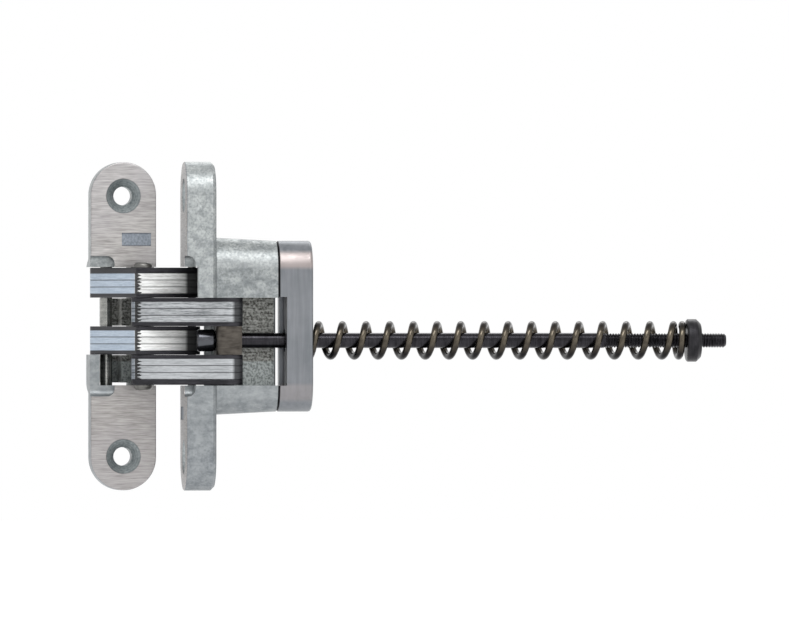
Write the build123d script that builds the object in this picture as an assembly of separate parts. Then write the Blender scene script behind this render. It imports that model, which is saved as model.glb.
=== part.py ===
from build123d import *
import math
import os

# Concealed closer hinge: two cast leaves of one pattern, two sets of laminated links that cross
# at a centre pin, and a spring-loaded rod that pulls one slider block back into its leaf.
# Millimetres. X runs into the closer leaf and along its rod, Z is up and along the pins,
# and the origin is the centre of the closer leaf's front face. Shown 90 degrees open.
# In a leaf, u is across the plate (towards the other leaf) and w is the depth behind its face.

# Leaf plate
plate_width = 19.05
plate_length = 95.25
plate_depth = 8.75
plate_edge = 0.35
plate_back_edge = 1.0
screw_spacing = 75.6
screw_hole_d = 5.4
countersink_d = 10.2
countersink_angle = 82
panel_width = 8.55
panel_height = 3.8
panel_depth = 0.25
panel_u = 3.78
panel_z = 25.2

# Cast body behind the plate
body_depth = 27.1
body_front_width = 17.2
body_front_length = 51.8
body_back_width = 16.6
body_back_length = 49.4
joint_edge = 0.35

# Pocket for the links
pocket_height = 34.4
side_wall = 2.0
side_wall_start = 3.4
mouth_depth = 6.85
shelf_u = 3.4
shelf_start = 12.5
shelf_edge_u = 7.2
web_u = 0.8
web_start = 14.0
web_clearance = 0.1
web_floor_u = -4.4
web_floor_start = 25.5
scoop_height = 3.2
scoop_depth = 2.6
scoop_u = -2.6
scoop_corner = 2.2
groove_depth = 2.0

# Linkage: fixed pivot, centre pin and slider in the closer leaf's own (u, w)
hinge_gap = 15.9
pivot_u = 7.6
pivot_w = 3.2
centre_u = 4.6
slider_u = -3.85
slider_w = 12.6
link_turn_share = 0.66
opening_range = 90.0

# Links: three steel plates between two liners in each of four levels
link_plate = 2.0
liner_plate = 1.1
plates_per_set = 3
level_gap = 0.06
outer_liner_extra = 0.5
pivot_end_r = 2.4
knee_half_width = 3.2
knee_fillet = 1.5
elbow_fillet = 2.5
slider_end_r = 3.6
slider_end_offset = 0.8
slider_end_reach = 0.9
pin_notch_clearance = 0.3

# Pins
pivot_pin_r = 1.2
pivot_pin_seat = 3.5
centre_pin_r = 1.75
centre_head_d = 5.5
centre_head_height = 1.5
slider_pin_r = 1.75
pin_chamfer = 0.3
fit_clearance = 0.02
run_clearance = 0.05
end_clearance = 0.2

# Trunnion block that the rod pulls on
block_front = 3.6
block_back = 3.65
block_near = 4.2
block_far = 4.0
block_round = 2.6
rod_slot_clearance = 0.1

# Closer rod
rod_u = -0.9
rod_d = 4.4
rod_head_d = 6.4
rod_head_length = 5.3
rod_head_round = 0.7
thread_d = 4.2
thread_start = 122.5
rod_tip = 158.1
rod_tip_chamfer = 0.6

# End cap
cap_depth = 9.9
cap_width = 17.0
cap_length = 49.5
cap_edge = 0.9
cap_notch_depth = 2.2
cap_notch_top = 8.5
cap_notch_bottom = -17.2
cap_notch_step_u = 4.0
cap_notch_far_depth = 1.2
cap_bore_clearance = 0.3
cap_counterbore_d = 7.1
cap_counterbore_depth = 1.0
spring_seat_depth = 3.0
spring_seat_clearance = 0.3
cap_screw_d = 2.6
cap_screw_head_d = 5.0
cap_screw_z = 21.2
cap_screw_length = 19.0
cap_screw_slot_width = 0.8
cap_screw_slot_depth = 0.7

# Spring and adjusting nut
spring_outer_d = 11.3
spring_wire_d = 2.0
spring_coil_clearance = 0.04
spring_turns = 17.4
spring_start_turn = 0.67
spring_points_per_turn = 12
nut_d = 12.4
nut_length = 4.2
nut_left = 146.5
nut_chamfer = 1.3
nut_front_chamfer = 0.4

# Values worked out from the sizes above
level_height = plates_per_set * link_plate + 2 * liner_plate
level_pitch = level_height + level_gap
level_z = [level_pitch * step for step in (1.5, 0.5, -0.5, -1.5)]
pocket_half = pocket_height / 2
stack_half = level_z[0] + level_height / 2 + outer_liner_extra
centre_w = centre_u - hinge_gap
pivot_arm = math.hypot(centre_u - pivot_u, centre_w - pivot_w)
slider_arm = math.hypot(slider_u - centre_u, slider_w - centre_w)
pivot_arm_angle = math.degrees(math.atan2(centre_w - pivot_w, centre_u - pivot_u))
slider_arm_angle = math.degrees(math.atan2(slider_w - centre_w, slider_u - centre_u))
partner_slider = (slider_w + hinge_gap, slider_u - hinge_gap)
rod_z = level_z[2]
spring_r = (spring_outer_d - spring_wire_d) / 2
cap_back = body_depth + cap_depth
leaf_swap = Axis((0, hinge_gap, 0), (1, 1, 0))


def plan(u, w, z=0.0):
    """A point of the closer leaf's (u, w) plan at height z."""
    return Vector(w, u, z)


def prism(outline, low, high):
    """The solid between two heights over a flat outline drawn at height zero."""
    return extrude(Pos(0, 0, low) * outline, high - low, dir=(0, 0, 1))


def plan_face(points):
    """A flat face from corners in the closer leaf's (u, w) plan."""
    return make_face(Polyline([plan(u, w) for u, w in points], close=True))


def post(u, w, radius, low, high):
    """A round post along Z."""
    return Pos(w, u, (low + high) / 2) * Cylinder(radius, high - low)


def lane(path, half):
    """A flat strip of even width along a path in the plan."""
    start = path @ 0
    tangent = path % 0
    side = Vector(-tangent.Y, tangent.X) * half
    return sweep(Line(start - side, start + side), path=path)


def slider_at(opening):
    """Where the slider axis is in the leaf's (u, w), for degrees beyond the shown pose."""
    arm = math.radians(pivot_arm_angle + link_turn_share * opening)
    reach = math.radians(slider_arm_angle + (1 - link_turn_share) * opening)
    u = pivot_u + pivot_arm * math.cos(arm) + slider_arm * math.cos(reach)
    w = pivot_w + pivot_arm * math.sin(arm) + slider_arm * math.sin(reach)
    return u, w


def leaf_shell():
    """The plate with full-round ends and the drafted body behind it."""
    face_plane = Plane((0, 0, 0), x_dir=(0, 0, 1), z_dir=(1, 0, 0))
    plate = extrude(face_plane * SlotOverall(plate_length, plate_width), plate_depth)
    rim = plate.faces().sort_by(Axis.X)
    plate = chamfer(rim[-1].edges(), plate_back_edge)
    plate = fillet(plate.faces().sort_by(Axis.X)[0].edges(), plate_edge)
    front = Pos(plate_depth / 2, 0, 0) * (face_plane * SlotOverall(body_front_length, body_front_width))
    back = Pos(body_depth, 0, 0) * (face_plane * SlotOverall(body_back_length, body_back_width))
    body = loft([front, back])
    return plate + chamfer(body.faces().sort_by(Axis.X)[-1].edges(), joint_edge)


def pocket_cut():
    """The room for the links: open at the face, at the inner side, and beside three levels."""
    beyond = plate_width
    near_wall = -body_front_width / 2 + side_wall
    rear = body_depth + 1
    main = plan_face([
        (near_wall, -1), (beyond, -1), (beyond, mouth_depth), (shelf_edge_u, mouth_depth),
        (shelf_u, shelf_start), (shelf_u, rear), (near_wall, rear),
    ])
    cut = prism(main, -pocket_half, pocket_half)
    wall_bottom = level_z[0] - level_pitch / 2
    window = plan_face([(-beyond, -1), (0, -1), (0, rear), (-beyond, rear)])
    cut += prism(window, -pocket_half, wall_bottom)
    strip = plan_face([(-beyond, -1), (0, -1), (0, side_wall_start), (-beyond, side_wall_start)])
    return cut + prism(strip, -pocket_half, pocket_half)


def slider_groove():
    """The curved tracks for a slider pin in the pocket's top and bottom walls."""
    steps = 8
    track = Spline([plan(*slider_at(opening_range * (2 * i / steps - 1))) for i in range(steps + 1)])
    half = slider_pin_r + run_clearance
    reach = pocket_half + groove_depth
    groove = extrude(lane(track, half), reach, both=True)
    return groove + [post(p.Y, p.X, half, -reach, reach) for p in (track @ 0, track @ 1)]


def head_scoops():
    """Reliefs in the plate, above and below the pocket, for the centre pin's heads."""
    tall = 2 * scoop_height
    wide = plate_width / 2 + scoop_u + 1
    scoop = Box(2 * scoop_depth, wide, tall)
    sides = scoop.edges().filter_by(Axis.X).group_by(Axis.Y)[-1]
    coves = scoop.edges().filter_by(Axis.Y)
    scoop = fillet(sides + coves, scoop_corner)
    return [Pos(0, scoop_u - wide / 2, z) * scoop for z in (-pocket_half, pocket_half)]


def pocket_web(z):
    """The web behind one level of the pocket, where only the slider pin passes."""
    outline = plan_face([
        (web_u, web_start), (shelf_edge_u, web_start), (shelf_edge_u, body_depth - joint_edge),
        (web_floor_u, body_depth - joint_edge), (web_floor_u, web_floor_start), (web_u, web_floor_start),
    ])
    half = level_height / 2 - web_clearance
    return prism(outline, z - half, z + half)


def leaf_casting(web_levels):
    """One cast leaf, in the closer leaf's place, with webs at some levels of its pocket."""
    leaf = leaf_shell() - pocket_cut() - slider_groove()
    for z in web_levels:
        leaf += pocket_web(z)
    for scoop in head_scoops():
        leaf -= scoop
    for z in (-screw_spacing / 2, screw_spacing / 2):
        hole = CounterSinkHole(screw_hole_d / 2, countersink_d / 2, 2 * plate_depth, countersink_angle)
        leaf -= Plane((0, 0, z), z_dir=(-1, 0, 0)) * hole
    pin_top = pocket_half + pivot_pin_seat
    leaf -= post(pivot_u, pivot_w, pivot_pin_r + fit_clearance, -pin_top, pin_top)
    leaf -= Pos(0, panel_u, -panel_z) * Box(2 * panel_depth, panel_width, panel_height)
    for z in (-cap_screw_z, cap_screw_z):
        tip = cap_back - cap_screw_length
        hole = Plane((tip, 0, z), z_dir=(1, 0, 0)) * Cylinder(
            cap_screw_d / 2 + fit_clearance, cap_screw_length, align=(Align.CENTER, Align.CENTER, Align.MIN))
        leaf -= hole
    return leaf


def edge_normal(along, outward, near_r, far_r, length):
    """The unit normal of the line that touches circles of two radii a length apart."""
    lean = (near_r - far_r) / length
    return along * lean + outward * math.sqrt(1 - lean * lean)


def line_meeting(centre, first, second, offset):
    """The point at one offset from a centre along two unit normals."""
    return centre + (first + second) * (offset / (1 + first.dot(second)))


def arm_outline(near, near_r, far, far_r):
    """A flat arm with round ends."""
    ends = [Pos(near.X, near.Y) * Edge.make_circle(near_r), Pos(far.X, far.Y) * Edge.make_circle(far_r)]
    return make_hull(ends)


def partner_pin_notch(centre, slider):
    """The path that the other set's pivot pin takes through this link, with its clearance."""
    partner = plan(pivot_w + hinge_gap, pivot_u - hinge_gap) - centre
    way = math.copysign(1, partner.cross(slider - centre).Z)
    nearest = (2 * link_turn_share - 1) * opening_range
    points = [centre + partner.rotate(Axis.Z, way * turn) for turn in (nearest, nearest - 15, nearest - 30)]
    half = pivot_pin_r + pin_notch_clearance
    end = Pos(points[0].X, points[0].Y) * Circle(half)
    return lane(ThreePointArc(*points), half) + end


def link_outline(slider_hole_r, centre_hole_r):
    """The flat shape of one link plate of the set that pivots in the closer leaf."""
    centre = plan(centre_u, centre_w)
    pivot = plan(pivot_u, pivot_w)
    slider = plan(*partner_slider)
    to_pivot = (pivot - centre).normalized()
    to_slider = (slider - centre).normalized()
    pivot_out = (to_pivot * to_pivot.dot(to_slider) - to_slider).normalized()
    slider_out = (to_slider * to_slider.dot(to_pivot) - to_pivot).normalized()
    slider_end = slider + slider_out * slider_end_offset + to_slider * slider_end_reach
    shape = arm_outline(centre, knee_half_width, pivot, pivot_end_r)
    shape += arm_outline(centre, knee_half_width, slider_end, slider_end_r)
    far_centre = (slider_end - centre).normalized()
    far_out = (far_centre * far_centre.dot(to_pivot) - to_pivot).normalized()
    pivot_lean = (knee_half_width, pivot_end_r, pivot_arm)
    slider_lean = (knee_half_width, slider_end_r, (slider_end - centre).length)
    outer = [edge_normal(to_pivot, pivot_out, *pivot_lean), edge_normal(far_centre, far_out, *slider_lean)]
    inner = [edge_normal(to_pivot, -pivot_out, *pivot_lean), edge_normal(far_centre, -far_out, *slider_lean)]
    knee = line_meeting(centre, *outer, knee_half_width)
    corners = [centre, centre + outer[0] * knee_half_width, knee, centre + outer[1] * knee_half_width]
    shape += make_face(Polyline(*corners, close=True))
    elbow = line_meeting(centre, *inner, knee_half_width)
    shape = fillet(shape.vertices().sort_by_distance(knee)[0], knee_fillet)
    shape = fillet(shape.vertices().sort_by_distance(elbow)[0], elbow_fillet)
    shape -= partner_pin_notch(centre, slider)
    for place, radius in (
        (centre, centre_hole_r), (pivot, pivot_pin_r + run_clearance), (slider, slider_hole_r),
    ):
        shape -= Pos(place.X, place.Y) * Circle(radius)
    return shape


def link_set(fixed_slider):
    """The plates and liners of the set that pivots in the closer leaf, by level and layer."""
    slider_hole = slider_pin_r + (fit_clearance if fixed_slider else run_clearance)
    centre_hole = centre_pin_r + (fit_clearance if fixed_slider else run_clearance)
    outline = link_outline(slider_hole, centre_hole)
    layers = {}
    for level, z in (("upper", level_z[0]), ("lower", level_z[2])):
        base = z - level_height / 2
        layers[level, "liner_1"] = prism(outline, base, base + liner_plate)
        base += liner_plate
        for number in range(1, plates_per_set + 1):
            layers[level, f"plate_{number}"] = prism(outline, base, base + link_plate)
            base += link_plate
        extra = outer_liner_extra if level == "upper" else 0
        layers[level, "liner_2"] = prism(outline, base, base + liner_plate + extra)
    return layers


def pivot_pin():
    """The plain pin that one set of links turns on, seated above and below the pocket."""
    end = pocket_half + pivot_pin_seat - end_clearance
    return chamfer(post(pivot_u, pivot_w, pivot_pin_r, -end, end).edges().filter_by(GeomType.CIRCLE), pin_chamfer)


def centre_pin():
    """The riveted pin where the two sets cross, with a domed head at each end."""
    stack = stack_half + run_clearance
    pin = post(centre_u, centre_w, centre_pin_r, -stack - centre_head_height / 2, stack + centre_head_height / 2)
    dome = fillet(
        Cylinder(centre_head_d / 2, centre_head_height).edges().sort_by(Axis.Z)[-1], 0.8 * centre_head_height)
    upper = Pos(centre_w, centre_u, stack + centre_head_height / 2) * dome
    return pin + upper + upper.mirror(Plane.XY)


def slider_pin():
    """The pin at the free end of the first set, which runs in the plain leaf's tracks."""
    end = pocket_half + groove_depth - end_clearance
    pin = post(*partner_slider, slider_pin_r, -end, end)
    return chamfer(pin.edges().filter_by(GeomType.CIRCLE), pin_chamfer)


def trunnion_block():
    """The block between the second set's links, open at one side so the rod can pass it."""
    near, far = slider_u - block_near, slider_u + block_far
    front, back = slider_w - block_front, slider_w + block_back
    outline = plan_face([(near, front), (far, front), (far, back), (near, back)])
    outline = fillet(outline.vertices().sort_by_distance(plan(near, front))[0], block_round)
    block = prism(outline, rod_z - level_height / 2, rod_z + level_height / 2)
    widest = max(slider_at(opening_range * step / 10)[0] for step in range(-10, 11))
    slot_u = slider_u + rod_u - widest
    slot_r = rod_d / 2 + rod_slot_clearance
    length = 2 * (block_front + block_back)
    slot = Pos(slider_w, slot_u, rod_z) * Rotation(0, 90, 0) * Cylinder(slot_r, length)
    slot += Pos(slider_w, slot_u + plate_width / 2, rod_z) * Box(length, plate_width, 2 * slot_r)
    block -= slot
    end = pocket_half + groove_depth - end_clearance
    overlap = 0.5
    block += post(slider_u, slider_w, slider_pin_r, rod_z + level_height / 2 - overlap, end)
    block += post(slider_u, slider_w, slider_pin_r, -end, rod_z - level_height / 2 + overlap)
    return block


def along_rod(start, end, diameter):
    """A round bar on the rod's axis."""
    return Pos((start + end) / 2, rod_u, rod_z) * Rotation(0, 90, 0) * Cylinder(diameter / 2, end - start)


def closer_rod():
    """The rod: a round head in front of the block, a plain shank and a threaded end."""
    seat = slider_w - block_front
    head = along_rod(seat - rod_head_length, seat, rod_head_d)
    head = fillet(head.edges().filter_by(GeomType.CIRCLE), rod_head_round)
    tail = along_rod(thread_start, rod_tip, thread_d)
    tail = chamfer(tail.edges().filter_by(GeomType.CIRCLE).sort_by(Axis.X)[-1], rod_tip_chamfer)
    return head + along_rod(seat - rod_head_length / 2, thread_start, rod_d) + tail


def cap_screw(z):
    """One countersunk slotted screw through the end cap."""
    sink = (cap_screw_head_d - cap_screw_d) / 2
    place = Plane((cap_back, 0, z), z_dir=(-1, 0, 0))
    low = (Align.CENTER, Align.CENTER, Align.MIN)
    screw = place * Cone(cap_screw_head_d / 2, cap_screw_d / 2, sink, align=low)
    screw += place * Cylinder(cap_screw_d / 2, cap_screw_length - end_clearance, align=low)
    return screw - place * Box(cap_screw_head_d, cap_screw_slot_width, 2 * cap_screw_slot_depth)


def end_cap():
    """The block behind the closer leaf that the spring pushes against."""
    face_plane = Plane((body_depth, 0, 0), x_dir=(0, 0, 1), z_dir=(1, 0, 0))
    cap = extrude(face_plane * SlotOverall(cap_length, cap_width), cap_depth)
    cap = fillet(cap.faces().sort_by(Axis.X)[-1].edges(), cap_edge)
    cap = chamfer(cap.faces().sort_by(Axis.X)[0].edges(), joint_edge)
    notch_z = (cap_notch_top + cap_notch_bottom) / 2
    notch_height = cap_notch_top - cap_notch_bottom
    cap -= Pos(body_depth, 0, notch_z) * Box(2 * cap_notch_far_depth, 2 * cap_width, notch_height)
    near_notch = Box(2 * cap_notch_depth, cap_width, notch_height)
    cap -= Pos(body_depth, cap_notch_step_u - cap_width / 2, notch_z) * near_notch
    cap -= along_rod(body_depth - 1, cap_back + 1, rod_d + 2 * cap_bore_clearance)
    counterbore_end = body_depth + cap_notch_depth + cap_counterbore_depth
    cap -= along_rod(body_depth - 1, counterbore_end, cap_counterbore_d)
    seat_d = spring_outer_d + 2 * spring_seat_clearance
    cap -= along_rod(cap_back - spring_seat_depth, cap_back + 1, seat_d)
    for z in (-cap_screw_z, cap_screw_z):
        hole = CounterSinkHole(
            cap_screw_d / 2 + run_clearance, cap_screw_head_d / 2 + run_clearance, cap_depth + 1, 90)
        cap -= Plane((cap_back, 0, z), z_dir=(1, 0, 0)) * hole
    return cap


def coil_rise(turn, total_turns, length):
    """How far along its axis the spring's wire is after so many turns from one end."""
    if turn > total_turns / 2:
        return length - coil_rise(total_turns - turn, total_turns, length)
    ease = 0.15
    closed = spring_wire_d + spring_coil_clearance
    extra = (length - closed * total_turns) / (total_turns - 2)
    beyond = turn - (1 - ease)
    if beyond <= 0:
        lift = 0
    elif beyond < 2 * ease:
        lift = beyond * beyond / (4 * ease)
    else:
        lift = turn - 1
    return closed * turn + extra * lift


def closer_spring():
    """The left-hand spring from its seat in the end cap to the nut, one closed turn at each end."""
    start = cap_back - spring_seat_depth + spring_wire_d / 2
    length = nut_left - spring_wire_d / 2 - start
    count = round(spring_turns * spring_points_per_turn)
    total_turns = count / spring_points_per_turn
    points = []
    for step in range(count + 1):
        turn = step / spring_points_per_turn
        angle = 2 * math.pi * (turn + spring_start_turn)
        points.append((
            start + coil_rise(turn, total_turns, length),
            rod_u + spring_r * math.sin(angle),
            rod_z + spring_r * math.cos(angle),
        ))
    wire = Spline(points)
    return sweep(Plane(wire @ 0, z_dir=wire % 0) * Circle(spring_wire_d / 2), path=wire, is_frenet=True)


def adjusting_nut():
    """The round nut that sets the spring's preload."""
    nut = along_rod(nut_left, nut_left + nut_length, nut_d)
    rims = nut.edges().filter_by(GeomType.CIRCLE).sort_by(Axis.X)
    nut = chamfer(rims[-1], nut_chamfer)
    nut = chamfer(nut.edges().filter_by(GeomType.CIRCLE).sort_by(Axis.X)[0], nut_front_chamfer)
    return nut - along_rod(nut_left - 1, nut_left + nut_length + 1, thread_d + 2 * run_clearance)


def in_plain_leaf(shape):
    """The same shape in the other leaf: turned half a turn about the diagonal between the leaves."""
    return shape.rotate(leaf_swap, 180)


def all_parts():
    """Every sub-part in its place, by node name."""
    parts = {
        "closer_leaf_casting": leaf_casting([level_z[0]]),
        "plain_leaf_casting": in_plain_leaf(leaf_casting([level_z[0], level_z[2]])),
        "end_cap": end_cap(),
        "cap_screws": Compound([cap_screw(cap_screw_z), cap_screw(-cap_screw_z)]),
        "closer_leaf_pivot_pin": pivot_pin(),
        "plain_leaf_pivot_pin": in_plain_leaf(pivot_pin()),
        "centre_pin": centre_pin(),
        "slider_pin": slider_pin(),
        "trunnion_block": trunnion_block(),
        "closer_rod": closer_rod(),
        "closer_spring": closer_spring(),
        "adjusting_nut": adjusting_nut(),
    }
    for (level, layer), plate in link_set(fixed_slider=True).items():
        parts[f"link_a_{level}_{layer}"] = plate
    other = {"upper": "lower", "lower": "upper"}
    for (level, layer), plate in link_set(fixed_slider=False).items():
        parts[f"link_b_{other[level]}_{layer}"] = in_plain_leaf(plate)
    return parts


os.makedirs("parts", exist_ok=True)
for name, shape in all_parts().items():
    export_step(shape, f"parts/{name}.step")
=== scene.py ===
import bpy
import math
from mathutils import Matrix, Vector


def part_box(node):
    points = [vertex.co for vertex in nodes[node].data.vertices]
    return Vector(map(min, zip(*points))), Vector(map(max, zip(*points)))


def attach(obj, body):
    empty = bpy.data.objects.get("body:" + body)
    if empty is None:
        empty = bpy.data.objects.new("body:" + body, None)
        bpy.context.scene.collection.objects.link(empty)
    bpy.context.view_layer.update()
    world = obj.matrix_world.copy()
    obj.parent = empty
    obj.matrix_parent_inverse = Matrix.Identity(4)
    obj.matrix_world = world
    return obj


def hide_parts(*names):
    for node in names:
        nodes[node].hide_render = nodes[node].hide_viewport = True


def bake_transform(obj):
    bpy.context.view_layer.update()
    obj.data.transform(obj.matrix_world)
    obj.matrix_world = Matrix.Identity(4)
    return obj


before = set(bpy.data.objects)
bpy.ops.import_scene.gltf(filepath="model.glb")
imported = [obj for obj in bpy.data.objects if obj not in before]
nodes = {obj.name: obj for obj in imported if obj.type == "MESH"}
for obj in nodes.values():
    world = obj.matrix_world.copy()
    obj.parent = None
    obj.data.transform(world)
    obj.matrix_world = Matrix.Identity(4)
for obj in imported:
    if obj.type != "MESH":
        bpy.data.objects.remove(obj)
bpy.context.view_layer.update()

# Sizes in metres
MM = 0.001
PLATE_DEPTH = 8.75 * MM
LEAF_GAP = 15.9 * MM
JOINT_X = 27.1 * MM
SINK_RADIUS = 5.25 * MM
SCREW_Z = 37.8 * MM
PANEL_Z = 25.2 * MM
PANEL_HALF = 1.9 * MM
POCKET_HALF = 17.19 * MM
POCKET_HALF_WIDTH = 6.8 * MM
LEVEL_PITCH = 8.26 * MM
PLATE_STACK = 6.0 * MM
KNEE_LOW = -13.9 * MM
KNEE_HIGH = -12.4 * MM
LINK_A_END = 1.8 * MM
LINK_B_END = 14.2 * MM
LINK_FLAT_Y = 3.5 * MM
LINK_ROUND = 0.14 * MM
BLOCK_ROUND = 0.12 * MM

# Spring
WIRE_D = 2.0 * MM
COIL_CLEARANCE = 0.04 * MM
COIL_EASE = 0.15
SPRING_TURNS = 209 / 12
SPRING_START_TURN = 0.67
SPRING_AXIS_Z = -4.13 * MM
SPRING_STEPS = 36
WIRE_SIDES = 18

# Rod
ROD_D = 4.4 * MM
ROD_HEAD_LENGTH = 5.3 * MM
ROD_HEAD_ROUND = 0.7 * MM
ROD_TIP_CHAMFER = 0.6 * MM
ROD_SIDES = 40
THREAD_D = 4.2 * MM
THREAD_DEPTH = 0.30 * MM
THREAD_PITCH = 0.79 * MM
THREAD_START = 122.5 * MM
THREAD_STEPS = 8

# Where the leaves' surfaces change: each pair is the start and the end of one change
FACE_SKIN = (0.12 * MM, 0.17 * MM)
RECESS_FRONT = (0.20 * MM, 0.22 * MM)
RECESS_BACK = (0.27 * MM, 0.30 * MM)
POCKET_FRONT = (8.0 * MM, 11.0 * MM)
POCKET_BACK = (26.6 * MM, 26.7 * MM)
# Lower edge of the painted shade inside the pocket
POCKET_SHADOW_EDGE_Z = (-10.4 * MM, -10.0 * MM)
# Band of the painted highlight on the body's rounded corners
BODY_HIGHLIGHT_INNER = (16.6 * MM, 17.2 * MM)
BODY_HIGHLIGHT_OUTER = (20.6 * MM, 22.4 * MM)
# Height of the cap's painted highlight bands
CAP_HIGHLIGHT_Z = 19.2 * MM
SEAM_TONE = (28, 28, 30)

# Camera: the photograph's frame, in pixels and as a real size
IMAGE_WIDTH = 789
SCALE_PX_PER_M = 3448.5
LOOK_TURN = math.radians(-6.1)
LOOK_AT = Vector((61.5 * MM, 0, 1.22 * MM))
CAMERA_DISTANCE = 8.0
CAMERA_CLIP = 80
SENSOR = 36.0

# Stage and lamps. Each lamp has its place, its aim, its size in metres and its power in watts
FLOOR_Z = -0.100
FLOOR_HALF = 6.0
WHITE = (1.0, 1.0, 1.0, 1.0)
AIM = (0.05, 0, 0)
LAMPS = {
    "key": ((-0.05, -0.40, 0.50), AIM, (0.35, 0.30), 1.6),
    "strip": ((0.10, -1.0, 0.02), AIM, (0.05, 0.7), 0.22),
    "fill": ((0.9, -1.2, 0.3), AIM, (0.8, 0.8), 1.5),
    "rim": ((0.3, 1.0, 0.9), AIM, (0.8, 0.5), 3.0),
    "rod": ((0.20, -0.36, 0.52), (0.09, 0, 0), (0.26, 0.08), 0.36),
}


def tone(red, green, blue):
    """A display colour from 0 to 255 as linear light."""
    def linear(value):
        share = value / 255
        return share / 12.92 if share <= 0.04045 else ((share + 0.055) / 1.055) ** 2.4
    return (linear(red), linear(green), linear(blue), 1.0)


class Nodes:
    """Short calls for building one material's node tree."""

    def __init__(self, name):
        self.material = bpy.data.materials.new(name)
        self.material.use_nodes = True
        self.tree = self.material.node_tree
        self.shader = self.tree.nodes["Principled BSDF"]
        self.coords = self.add("ShaderNodeTexCoord").outputs["Object"]

    def add(self, kind, **settings):
        """A new node with its settings."""
        node = self.tree.nodes.new(kind)
        for key, value in settings.items():
            setattr(node, key, value)
        return node

    def link(self, source, target):
        """Joins an output to an input, or writes a plain value into the input."""
        if isinstance(source, bpy.types.NodeSocket):
            self.tree.links.new(source, target)
        else:
            target.default_value = source

    def axis(self, name):
        """One object coordinate, in metres."""
        node = self.add("ShaderNodeSeparateXYZ")
        self.link(self.coords, node.inputs["Vector"])
        return node.outputs[name]

    def noise(self, scale, detail=3.0, rough=0.55):
        """Noise from 0 to 1, with a scale along each axis in cycles for each metre."""
        stretch = self.add("ShaderNodeMapping")
        self.link(self.coords, stretch.inputs["Vector"])
        stretch.inputs["Scale"].default_value = scale
        node = self.add("ShaderNodeTexNoise")
        node.inputs["Scale"].default_value = 1.0
        node.inputs["Detail"].default_value = detail
        node.inputs["Roughness"].default_value = rough
        self.link(stretch.outputs["Vector"], node.inputs["Vector"])
        return node.outputs["Fac"]

    def remap(self, value, low, high, to_low=0.0, to_high=1.0):
        """A value stretched from one span to another and held inside it."""
        node = self.add("ShaderNodeMapRange")
        self.link(value, node.inputs["Value"])
        spans = (("From Min", low), ("From Max", high), ("To Min", to_low), ("To Max", to_high))
        for key, number in spans:
            node.inputs[key].default_value = number
        return node.outputs["Result"]

    def maths(self, operation, first, second=0.0):
        """One sum on two values."""
        node = self.add("ShaderNodeMath", operation=operation)
        self.link(first, node.inputs[0])
        self.link(second, node.inputs[1])
        return node.outputs[0]

    def size(self, value):
        """A value without its sign."""
        return self.maths("ABSOLUTE", value)

    def product(self, first, *others):
        """All values multiplied together."""
        for other in others:
            first = self.maths("MULTIPLY", first, other)
        return first

    def weighted(self, first, weight, second, other_weight):
        """Two values added with their weights."""
        return self.maths("ADD", self.product(first, weight), self.product(second, other_weight))

    def between(self, value, start, end, rest=0.0):
        """Rises from 0 to 1 over the start span and falls to the rest value over the end span."""
        return self.product(self.remap(value, *start), self.remap(value, *end, 1.0, rest))

    def near(self, value, centre, inner, outer, peak):
        """The peak value up to the inner distance from a centre, fading to 0 at the outer one."""
        distance = self.size(self.maths("SUBTRACT", value, centre))
        return self.remap(distance, inner, outer, peak, 0.0)

    def mix(self, share, first, second):
        """Two colours mixed by a share."""
        node = self.add("ShaderNodeMix", data_type="RGBA")
        self.link(share, node.inputs["Factor"])
        self.link(first, node.inputs["A"])
        self.link(second, node.inputs["B"])
        return node.outputs["Result"]

    def lift(self, height, distance, strength):
        """A bump of the given height map."""
        node = self.add("ShaderNodeBump")
        node.inputs["Strength"].default_value = strength
        node.inputs["Distance"].default_value = distance
        self.link(height, node.inputs["Height"])
        return node.outputs["Normal"]

    def done(self, colour, rough, normal, metal):
        """Fills in the shader and gives back the material."""
        for value, key in ((colour, "Base Color"), (rough, "Roughness"), (normal, "Normal")):
            self.link(value, self.shader.inputs[key])
        self.shader.inputs["Metallic"].default_value = metal
        return self.material


def leaf_front(n):
    """The leaf's ground front: brush lines across it, soft clouds, and painted shade that makes it
    darker and warmer lower down.
    """
    streak = n.weighted(n.noise((110, 110, 1900), 2.0), 0.40, n.noise((260, 260, 5200), 2.0), 0.60)
    cloud = n.noise((45, 45, 45), 2.0)
    colour = n.mix(n.remap(streak, 0.34, 0.66), tone(140, 137, 135), tone(204, 201, 199))
    colour = n.mix(n.remap(cloud, 0.35, 0.65, 0.0, 0.30), colour, tone(190, 187, 194))
    # Painted shade: the front grows darker and warmer towards the bottom.
    lower = n.remap(n.axis("Z"), -20 * MM, 20 * MM, 1.0, 0.0)
    upper_tone = n.mix(0.10, colour, tone(60, 60, 62))
    lower_tone = n.mix(0.26, colour, tone(72, 66, 56))
    return n.mix(lower, upper_tone, lower_tone), streak


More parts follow.
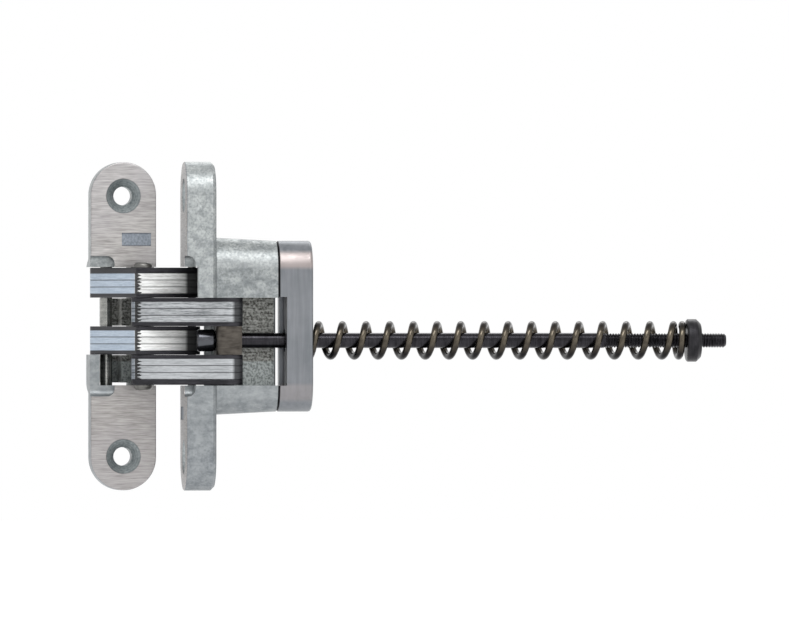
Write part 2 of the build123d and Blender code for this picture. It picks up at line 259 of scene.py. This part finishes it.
def leaf_casting(n, depth, blotch, grain, scratch):
    """The raw casting: mottled and scratched, a paler plate, a painted highlight band on the body's
    rounded corners, and painted shade darker low down.
    """
    speck = n.noise((700, 700, 700), 3.0)
    raw = n.mix(n.remap(blotch, 0.34, 0.64), tone(130, 135, 136), tone(176, 180, 179))
    raw = n.mix(n.remap(grain, 0.42, 0.66, 0.0, 0.60), raw, tone(96, 101, 102))
    raw = n.mix(n.remap(speck, 0.58, 0.70, 0.0, 0.35), raw, tone(212, 216, 216))
    plate = n.remap(depth, PLATE_DEPTH - 0.3 * MM, PLATE_DEPTH, 0.14, 0.0)
    raw = n.mix(plate, raw, tone(214, 218, 219))
    # Painted highlight: a paler band along the body's rounded top and bottom corners.
    corner = n.between(n.size(n.axis("Z")), BODY_HIGHLIGHT_INNER, BODY_HIGHLIGHT_OUTER)
    corner = n.product(corner, n.remap(depth, PLATE_DEPTH, PLATE_DEPTH + 0.3 * MM))
    raw = n.mix(n.product(corner, 0.26), raw, tone(198, 201, 201))
    raw = n.mix(n.remap(scratch, 0.60, 0.72, 0.0, 0.36), raw, tone(82, 86, 88))
    # Painted shade: the casting darkens, mottled, towards the bottom.
    low = n.remap(n.axis("Z"), -40 * MM, 30 * MM, 0.85, 0.0)
    dapple = n.remap(n.maths("ADD", grain, blotch), 0.80, 1.22)
    return n.mix(low, raw, n.mix(dapple, tone(108, 113, 118), tone(150, 154, 157)))


def leaf_pocket(n, raw, depth, across, grain, scratch):
    """Paints mottled shade into the pocket's inside, lighter below the shade's edge near its
    bottom.
    """
    inside = n.between(depth, POCKET_FRONT, POCKET_BACK)
    inside = n.product(inside, n.maths("LESS_THAN", n.size(n.axis("Z")), POCKET_HALF))
    inside = n.product(inside, n.maths("LESS_THAN", n.size(across), POCKET_HALF_WIDTH))
    patches = n.remap(n.maths("ADD", grain, scratch), 0.86, 1.14)
    # Painted shade inside the pocket, mottled by the patches.
    pocket_shade = n.mix(patches, tone(158, 159, 154), tone(62, 59, 53))
    # Below the shade's edge the pocket keeps a lighter, unshaded tone.
    pocket_lit = n.mix(n.remap(grain, 0.42, 0.60), tone(172, 178, 176), tone(116, 121, 120))
    pocket_shade = n.mix(n.remap(n.axis("Z"), *POCKET_SHADOW_EDGE_Z, 1.0, 0.0), pocket_shade, pocket_lit)
    return n.mix(n.product(inside, 0.85), raw, pocket_shade)


def leaf_recess(n, raw, depth, grain):
    """The shallow recess's plain cast floor, with painted shade along its long rims."""
    cast = n.mix(n.remap(grain, 0.36, 0.62), tone(122, 130, 139), tone(150, 157, 166))
    from_middle = n.size(n.maths("SUBTRACT", n.size(n.axis("Z")), PANEL_Z))
    # Painted shade along the recess's long rims.
    rim = n.remap(from_middle, PANEL_HALF - 0.40 * MM, PANEL_HALF - 0.15 * MM, 0.0, 0.55)
    cast = n.mix(rim, cast, tone(66, 68, 78))
    return n.mix(n.between(depth, RECESS_FRONT, RECESS_BACK), raw, cast)


def leaf_countersinks(n, raw, depth, across, grain):
    """The two countersinks: faint turned rings and a darker lip."""
    up = n.maths("POWER", n.maths("SUBTRACT", n.size(n.axis("Z")), SCREW_Z), 2.0)
    ring = n.maths("SQRT", n.maths("ADD", up, n.maths("POWER", across, 2.0)))
    sink = n.remap(ring, SINK_RADIUS, SINK_RADIUS + 0.05 * MM, 1.0, 0.0)
    colour = n.mix(n.remap(grain, 0.3, 0.7), tone(142, 149, 151), tone(188, 193, 194))
    turned = n.remap(n.maths("PINGPONG", ring, 0.28 * MM), 0.0, 0.28 * MM, 0.0, 0.35)
    colour = n.mix(turned, colour, tone(104, 112, 114))
    lip = n.near(ring, SINK_RADIUS - 0.15 * MM, 0.10 * MM, 0.30 * MM, 0.55)
    colour = n.mix(lip, colour, tone(84, 90, 94))
    front = n.remap(depth, PLATE_DEPTH * 0.5, PLATE_DEPTH * 0.52, 1.0, 0.0)
    return n.mix(n.product(sink, front), raw, colour)


def leaf_metal(name, depth_axis, depth_start, across_axis, across_start, capped):
    """Die-cast leaf with a brushed front, and a dark seam where the end cap sits on it."""
    n = Nodes(name)
    depth = n.maths("SUBTRACT", n.axis(depth_axis), depth_start)
    across = n.maths("SUBTRACT", n.axis(across_axis), across_start)
    blotch = n.noise((280, 280, 420), 5.0, 0.66)
    grain = n.noise((1500, 1500, 1500), 3.0)
    scratch = n.noise((380, 380, 2400), 4.0, 0.7)
    raw = leaf_casting(n, depth, blotch, grain, scratch)
    raw = leaf_pocket(n, raw, depth, across, grain, scratch)
    raw = leaf_recess(n, raw, depth, grain)
    raw = leaf_countersinks(n, raw, depth, across, grain)
    # Painted shade on the plate's back, along its step to the body.
    raw = n.mix(n.near(depth, PLATE_DEPTH, 0.10 * MM, 0.32 * MM, 0.5), raw, tone(84, 88, 91))
    if capped:
        raw = n.mix(n.near(depth, JOINT_X, 0.12 * MM, 0.36 * MM, 1.0), raw, tone(*SEAM_TONE))
    brushed, streak = leaf_front(n)
    face = n.remap(depth, *FACE_SKIN, 1.0, 0.0)
    colour = n.mix(face, raw, brushed)
    rough = n.remap(face, 0.0, 1.0, 0.48, 0.36)
    rough = n.maths("ADD", rough, n.remap(grain, 0.3, 0.7, -0.06, 0.06))
    pits = n.maths("ADD", grain, n.product(blotch, 0.6))
    return n.done(colour, rough, n.lift(n.mix(face, pits, streak), 0.06 * MM, 0.5), 0.85)


def cap_metal():
    """Satin end cap: faint upright drag marks, warm painted highlight bands at its corners, a dark
    seam.
    """
    n = Nodes("cap_satin")
    drag = n.noise((900, 900, 60), 3.0)
    cloud = n.noise((90, 90, 90), 3.0)
    colour = n.mix(n.remap(cloud, 0.3, 0.7), tone(106, 110, 114), tone(124, 127, 131))
    colour = n.mix(n.remap(drag, 0.35, 0.7, 0.0, 0.35), colour, tone(150, 151, 156))
    # Painted highlight: warm bands on the cap's rounded corners, weaker at the bottom.
    warm = n.near(n.size(n.axis("Z")), CAP_HIGHLIGHT_Z, 1.8 * MM, 2.9 * MM, 0.75)
    warm = n.product(warm, n.remap(n.axis("Z"), -5 * MM, 5 * MM, 0.35, 1.0))
    colour = n.mix(warm, colour, tone(163, 152, 149))
    seam = n.remap(n.axis("X"), JOINT_X + 0.15 * MM, JOINT_X + 0.40 * MM, 1.0, 0.0)
    colour = n.mix(seam, colour, tone(*SEAM_TONE))
    rough = n.remap(drag, 0.3, 0.7, 0.34, 0.46)
    return n.done(colour, rough, n.lift(drag, 0.02 * MM, 0.4), 0.9)


def shear_lines(n):
    """Fine lines along a sheared edge, and the finest of them alone."""
    fine = n.noise((600, 600, 6200), 2.0)
    return n.weighted(n.noise((130, 130, 2600), 3.0), 0.6, fine, 0.4), fine


def link_steel(name, flat, rough_low, dark, light, end):
    """Link plates: sheared edges, lighter lower plates as painted light, a painted reflection on
    the flats, painted shade in a ragged band at the knee, oily joints and painted shade on the far
    end.
    """
    n = Nodes(name)
    streak, fine = shear_lines(n)
    across = n.axis("X")
    height = n.maths("ADD", n.axis("Z"), 2 * LEVEL_PITCH)
    colour = n.mix(n.remap(streak, 0.38, 0.58), dark, light)
    # Painted light: the lower plates are lighter.
    colour = n.mix(n.remap(n.axis("Z"), -9 * MM, -1 * MM, 0.45, 0.0), colour, light)
    # Painted reflection on the flats before the knee, in the given tones.
    flat_reflection = n.mix(n.remap(streak, 0.40, 0.60), *flat)
    colour = n.mix(n.remap(across, KNEE_LOW - 0.1 * MM, KNEE_LOW, 1.0, 0.0), colour, flat_reflection)
    # Painted shade darkening the rounded far end.
    colour = n.mix(n.remap(across, end - 0.9 * MM, end, 0.0, 0.9), colour, tone(30, 31, 34))
    # Painted shade: a dark band with ragged teeth at the knee's rounded corner.
    ragged = n.maths("ADD", height, n.remap(fine, 0.3, 0.7, 0.0, 0.4 * MM))
    tooth = n.maths("PINGPONG", ragged, 0.5 * MM)
    edge = n.remap(tooth, 0.0, 0.5 * MM, KNEE_HIGH - 0.9 * MM, KNEE_HIGH + 0.5 * MM)
    knee_shade = n.product(n.maths("LESS_THAN", across, edge),
                     n.maths("GREATER_THAN", across, KNEE_LOW),
                     n.maths("LESS_THAN", n.axis("Y"), LINK_FLAT_Y), 0.94)
    colour = n.mix(knee_shade, colour, tone(16, 15, 16))
    stack_start = LEVEL_PITCH / 2 - PLATE_STACK / 2
    level = n.maths("SUBTRACT", n.maths("MODULO", height, LEVEL_PITCH), stack_start)
    joint = n.remap(n.maths("PINGPONG", level, 1.0 * MM), 0.10 * MM, 0.20 * MM, 1.0, 0.0)
    colour = n.mix(n.product(joint, 0.6), colour, tone(40, 40, 43))
    rough = n.remap(streak, 0.35, 0.65, rough_low, rough_low + 0.12)
    return n.done(colour, rough, n.lift(streak, 0.05 * MM, 0.6), 0.5)


def liner_steel():
    """The dark outer plates' sheared edges; their dark colour is partly painted shade in the gaps
    between the link groups.
    """
    n = Nodes("liner_black")
    streak = shear_lines(n)[0]
    colour = n.mix(n.remap(streak, 0.36, 0.64), tone(30, 30, 33), tone(62, 61, 66))
    rough = n.remap(streak, 0.35, 0.65, 0.35, 0.5)
    return n.done(colour, rough, n.lift(streak, 0.05 * MM, 0.6), 0.7)


def turned_metal(name, dark, light, rough_low, rough_high, scale=(2500, 90, 90), pale_end_to=None):
    """Drawn or turned metal: fine rings, a slight mottle and maybe a paler end."""
    n = Nodes(name)
    mottle = n.noise((400, 400, 400), 4.0)
    blend = n.weighted(n.noise(scale, 2.0), 0.5, mottle, 0.5)
    colour = n.mix(n.remap(blend, 0.35, 0.65), dark, light)
    if pale_end_to is not None:
        # A paler tone below the given place along X.
        pale_end = n.remap(n.axis("X"), pale_end_to - 0.2 * MM, pale_end_to, 0.32, 0.0)
        colour = n.mix(pale_end, colour, tone(122, 125, 131))
    rough = n.remap(mottle, 0.3, 0.7, rough_low, rough_high)
    return n.done(colour, rough, n.lift(blend, 0.02 * MM, 0.4), 0.9)


def spring_steel():
    """Oil-hardened spring wire, with a painted highlight band around its upper half and painted
    shade below.
    """
    n = Nodes("spring_wire")
    mottle = n.noise((500, 500, 500), 4.0)
    height = n.maths("SUBTRACT", n.axis("Z"), SPRING_AXIS_Z)
    # Painted highlight in a band around the wire's upper half, painted shade below it.
    highlight_band = n.between(height, (-4.0 * MM, 0.8 * MM), (2.2 * MM, 4.2 * MM), 0.15)
    colour = n.mix(highlight_band, tone(22, 21, 23), tone(100, 93, 81))
    colour = n.mix(n.remap(mottle, 0.40, 0.70, 0.0, 0.6), colour, tone(36, 33, 31))
    rough = n.remap(mottle, 0.3, 0.7, 0.17, 0.26)
    return n.done(colour, rough, n.lift(mottle, 0.02 * MM, 0.4), 0.9)


def paint(names, material):
    """Gives CAD nodes or pieces one material."""
    for name in names:
        thing = nodes[name] if isinstance(name, str) else name
        thing.data.materials.clear()
        thing.data.materials.append(material)


def soften(name, width):
    """Closes the imported mesh's split corners and rounds its sharp edges."""
    thing = nodes[name]
    weld = thing.modifiers.new("weld", "WELD")
    weld.merge_threshold = 0.001 * MM
    bevel = thing.modifiers.new("round", "BEVEL")
    bevel.width = width
    bevel.segments = 2
    bevel.limit_method = "ANGLE"
    bevel.angle_limit = math.radians(35)
    bevel.harden_normals = False


def make_piece(name, verts, faces, smooth=True):
    """A mesh piece from its points and faces, in the row frame."""
    mesh = bpy.data.meshes.new(name)
    mesh.from_pydata(verts, [], faces)
    mesh.update()
    if smooth:
        mesh.shade_smooth()
    piece = bpy.data.objects.new(name, mesh)
    bpy.context.scene.collection.objects.link(piece)
    return piece


def tube_faces(rings, around):
    """Quads between rings of points that follow each other, and a face over each end."""
    faces = []
    for ring in range(rings - 1):
        base = ring * around
        for k in range(around):
            turn = (k + 1) % around
            faces.append((base + k, base + turn, base + around + turn, base + around + k))
    faces.append(tuple(reversed(range(around))))
    faces.append(tuple(range((rings - 1) * around, rings * around)))
    return faces


def coil_rise(turn, length):
    """How far along its axis the spring's wire is after so many turns from one end."""
    if turn > SPRING_TURNS / 2:
        return length - coil_rise(SPRING_TURNS - turn, length)
    closed = WIRE_D + COIL_CLEARANCE
    extra = (length - closed * SPRING_TURNS) / (SPRING_TURNS - 2)
    beyond = turn - (1 - COIL_EASE)
    if beyond <= 0:
        lift = 0
    elif beyond < 2 * COIL_EASE:
        lift = beyond * beyond / (4 * COIL_EASE)
    else:
        lift = turn - 1
    return closed * turn + extra * lift


def build_spring():
    """The left-hand spring with its closed ends, which stretches between the leaf and the rod."""
    low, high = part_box("closer_spring")
    axis_y, axis_z = (low.y + high.y) / 2, (low.z + high.z) / 2
    radius = (high.y - low.y) / 2 - WIRE_D / 2
    start = low.x + WIRE_D / 2
    length = high.x - low.x - WIRE_D
    count = round(SPRING_TURNS * SPRING_STEPS) + 1

    def centre(step):
        turn = step / SPRING_STEPS
        angle = 2 * math.pi * (turn + SPRING_START_TURN)
        x = start + coil_rise(min(max(turn, 0), SPRING_TURNS), length)
        return Vector((x, axis_y + radius * math.sin(angle), axis_z + radius * math.cos(angle)))

    verts = []
    for step in range(count):
        here = centre(step)
        along = (centre(step + 0.1) - centre(step - 0.1)).normalized()
        outward = Vector((0, here.y - axis_y, here.z - axis_z)).normalized()
        side = along.cross(outward).normalized()
        outward = side.cross(along)
        for k in range(WIRE_SIDES):
            angle = 2 * math.pi * k / WIRE_SIDES
            spoke = outward * math.cos(angle) + side * math.sin(angle)
            verts.append(here + spoke * (WIRE_D / 2))
    spring = make_piece("closer_spring_wire", verts, tube_faces(count, WIRE_SIDES))
    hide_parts("closer_spring")
    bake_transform(spring)
    paint([spring], spring_steel())


def thread_radius(x, share, tip_x):
    """The thread's radius at a place along the rod and a share of a turn around it."""
    run = (x - THREAD_START) / THREAD_PITCH
    phase = run - share
    wave = abs(2 * (phase - math.floor(phase)) - 1)
    groove = min(1.0, max(0.0, 1.5 * wave - 0.3))
    radius = THREAD_D / 2 - THREAD_DEPTH * min(1.0, run) * groove
    return min(radius, THREAD_D / 2 - ROD_TIP_CHAMFER + tip_x - x)


def build_rod():
    """The closer rod: rounded head, plain shank and rolled thread."""
    low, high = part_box("closer_rod")
    axis_y, axis_z = (low.y + high.y) / 2, (low.z + high.z) / 2
    head_r = (high.z - low.z) / 2
    head_end = low.x + ROD_HEAD_LENGTH
    corner = ROD_HEAD_ROUND
    cuts = [(corner * (1 - math.cos(a)), corner * (1 - math.sin(a)))
            for a in (math.pi / 2 * k / 6 for k in range(7))]
    shank_r = ROD_D / 2
    profile = [(low.x + small, head_r - large) for small, large in cuts]
    profile += [(head_end - large, head_r - small) for small, large in cuts]
    profile += [(head_end, shank_r + 0.05 * MM), (head_end + 0.05 * MM, shank_r)]
    # Two rings near the shank's ends keep its shading straight
    profile += [(head_end + 0.4 * MM, shank_r), (THREAD_START - 0.5 * MM, shank_r)]
    profile += [(THREAD_START - 0.1 * MM, shank_r), (THREAD_START, THREAD_D / 2)]
    thread_length = high.x - THREAD_START
    count = int(thread_length / (THREAD_PITCH / THREAD_STEPS))
    profile += [(THREAD_START + thread_length * k / count, None) for k in range(1, count + 1)]
    verts = []
    for x, plain_radius in profile:
        for k in range(ROD_SIDES):
            angle = 2 * math.pi * k / ROD_SIDES
            radius = plain_radius
            if radius is None:
                radius = thread_radius(x, k / ROD_SIDES, high.x)
            verts.append((x, axis_y + radius * math.sin(angle), axis_z + radius * math.cos(angle)))
    rod = make_piece("closer_rod_threaded", verts, tube_faces(len(profile), ROD_SIDES))
    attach(rod, "rod")
    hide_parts("closer_rod")
    paint([rod], turned_metal("rod_black", tone(27, 26, 29), tone(54, 53, 57), 0.16, 0.26,
                              (2600, 200, 200), head_end))


def dress():
    """Materials and edge rounding on the carried-over solids."""
    paint(["closer_leaf_casting"], leaf_metal("closer_leaf_metal", "X", 0.0, "Y", 0.0, True))
    paint(["plain_leaf_casting"],
          leaf_metal("plain_leaf_metal", "Y", LEAF_GAP, "X", -LEAF_GAP, False))
    paint(["end_cap"], cap_metal())
    plates = [name for name in nodes if name.startswith("link_") and "_plate_" in name]
    liners = [name for name in nodes if name.startswith("link_") and "_liner_" in name]
    # Painted reflection tones for each set's flats, lit for link_a and shaded for link_b.
    bright = (tone(176, 190, 206), tone(202, 214, 227))
    dull = (tone(104, 110, 117), tone(158, 164, 172))
    # The two link sets are one steel: link_a's paler tones and link_b's darker ones are painted
    # light and painted shade.
    paint([name for name in plates if "_a_" in name],
          link_steel("link_a_steel", bright, 0.50, tone(206, 206, 205), tone(252, 253, 252),
                     LINK_A_END))
    paint([name for name in plates if "_b_" in name],
          link_steel("link_b_steel", dull, 0.42, tone(112, 116, 119), tone(196, 199, 202),
                     LINK_B_END))
    paint(liners, liner_steel())
    paint(["trunnion_block"],
          turned_metal("block_steel", tone(60, 56, 52), tone(94, 89, 83), 0.36, 0.5,
                       (300, 300, 1500)))
    paint(["slider_pin", "closer_leaf_pivot_pin", "plain_leaf_pivot_pin"],
          turned_metal("pin_bright", tone(118, 120, 118), tone(170, 170, 166), 0.15, 0.24,
                       (120, 120, 2600)))
    paint(["centre_pin"],
          turned_metal("pin_dull", tone(80, 80, 78), tone(122, 121, 118), 0.30, 0.42,
                       (120, 120, 2600)))
    paint(["cap_screws"],
          turned_metal("screw_steel", tone(84, 84, 84), tone(120, 120, 118), 0.3, 0.42))
    paint(["adjusting_nut"],
          turned_metal("nut_black", tone(30, 30, 32), tone(52, 51, 54), 0.30, 0.42,
                       (1800, 300, 300)))
    for name in plates + liners:
        soften(name, LINK_ROUND)
    for name in ("trunnion_block", "adjusting_nut", "end_cap"):
        soften(name, BLOCK_ROUND)


def build_camera():
    """A long lens at the photograph's angle, framed by its pixel scale."""
    camera = bpy.data.cameras.new("camera")
    camera.sensor_width = SENSOR
    half_width = IMAGE_WIDTH / 2 / SCALE_PX_PER_M
    camera.lens = SENSOR / 2 * CAMERA_DISTANCE / half_width
    camera.clip_end = CAMERA_CLIP
    seat = bpy.data.objects.new("camera", camera)
    away = Vector((math.sin(LOOK_TURN), -math.cos(LOOK_TURN), 0))
    seat.location = LOOK_AT + away * CAMERA_DISTANCE
    seat.rotation_euler = (-away).to_track_quat("-Z", "Y").to_euler()
    bpy.context.scene.collection.objects.link(seat)
    bpy.context.scene.camera = seat


def seen_directly(tree):
    """1 for camera, glossy and transmission rays, otherwise 0."""
    path = tree.nodes.new("ShaderNodeLightPath")
    share = path.outputs["Is Camera Ray"]
    for kind in ("Is Glossy Ray", "Is Transmission Ray"):
        either = tree.nodes.new("ShaderNodeMath")
        either.operation = "MAXIMUM"
        tree.links.new(share, either.inputs[0])
        tree.links.new(path.outputs[kind], either.inputs[1])
        share = either.outputs[0]
    return share


def stage_white():
    """A matt white surface that the camera and reflections see as white away from shadows."""
    material = bpy.data.materials.new("stage_white")
    material.use_nodes = True
    tree = material.node_tree
    tree.nodes.clear()
    out = tree.nodes.new("ShaderNodeOutputMaterial")
    matt = tree.nodes.new("ShaderNodeBsdfDiffuse")
    matt.inputs["Color"].default_value = (0.9, 0.9, 0.9, 1.0)
    glow = tree.nodes.new("ShaderNodeEmission")
    glow.inputs["Color"].default_value = WHITE
    glow.inputs["Strength"].default_value = 0.6
    both = tree.nodes.new("ShaderNodeAddShader")
    pick = tree.nodes.new("ShaderNodeMixShader")
    tree.links.new(seen_directly(tree), pick.inputs["Fac"])
    tree.links.new(matt.outputs[0], both.inputs[0])
    tree.links.new(glow.outputs[0], both.inputs[1])
    tree.links.new(matt.outputs[0], pick.inputs[1])
    tree.links.new(both.outputs[0], pick.inputs[2])
    tree.links.new(pick.outputs[0], out.inputs["Surface"])
    return material


def build_stage():
    """A white floor below the object. It hides the object from views below it."""
    corners = ((-1, -1), (1, -1), (1, 1), (-1, 1))
    verts = [(x * FLOOR_HALF, y * FLOOR_HALF, FLOOR_Z) for x, y in corners]
    floor = make_piece("floor", verts, [(0, 1, 2, 3)], smooth=False)
    floor.data.materials.append(stage_white())


def add_lamp(name, place, aim, size, power):
    """One soft rectangular lamp."""
    light = bpy.data.lights.new(name, "AREA")
    light.shape = "RECTANGLE"
    light.size, light.size_y = size
    light.energy = power
    lamp = bpy.data.objects.new(name, light)
    lamp.location = place
    lamp.rotation_euler = (Vector(aim) - Vector(place)).to_track_quat("-Z", "Y").to_euler()
    bpy.context.scene.collection.objects.link(lamp)


def build_light():
    """A white world, dimmer as a light than it looks, and the lamps."""
    world = bpy.data.worlds.new("world")
    bpy.context.scene.world = world
    world.use_nodes = True
    tree = world.node_tree
    back = tree.nodes["Background"]
    back.inputs["Color"].default_value = WHITE
    strength = tree.nodes.new("ShaderNodeMapRange")
    strength.inputs["To Min"].default_value = 0.5
    strength.inputs["To Max"].default_value = 1.0
    tree.links.new(seen_directly(tree), strength.inputs["Value"])
    tree.links.new(strength.outputs["Result"], back.inputs["Strength"])
    for name, settings in LAMPS.items():
        add_lamp(name, *settings)


build_camera()
build_stage()
build_light()
dress()
build_spring()
build_rod()

bpy.context.scene.view_settings.view_transform = "Standard"
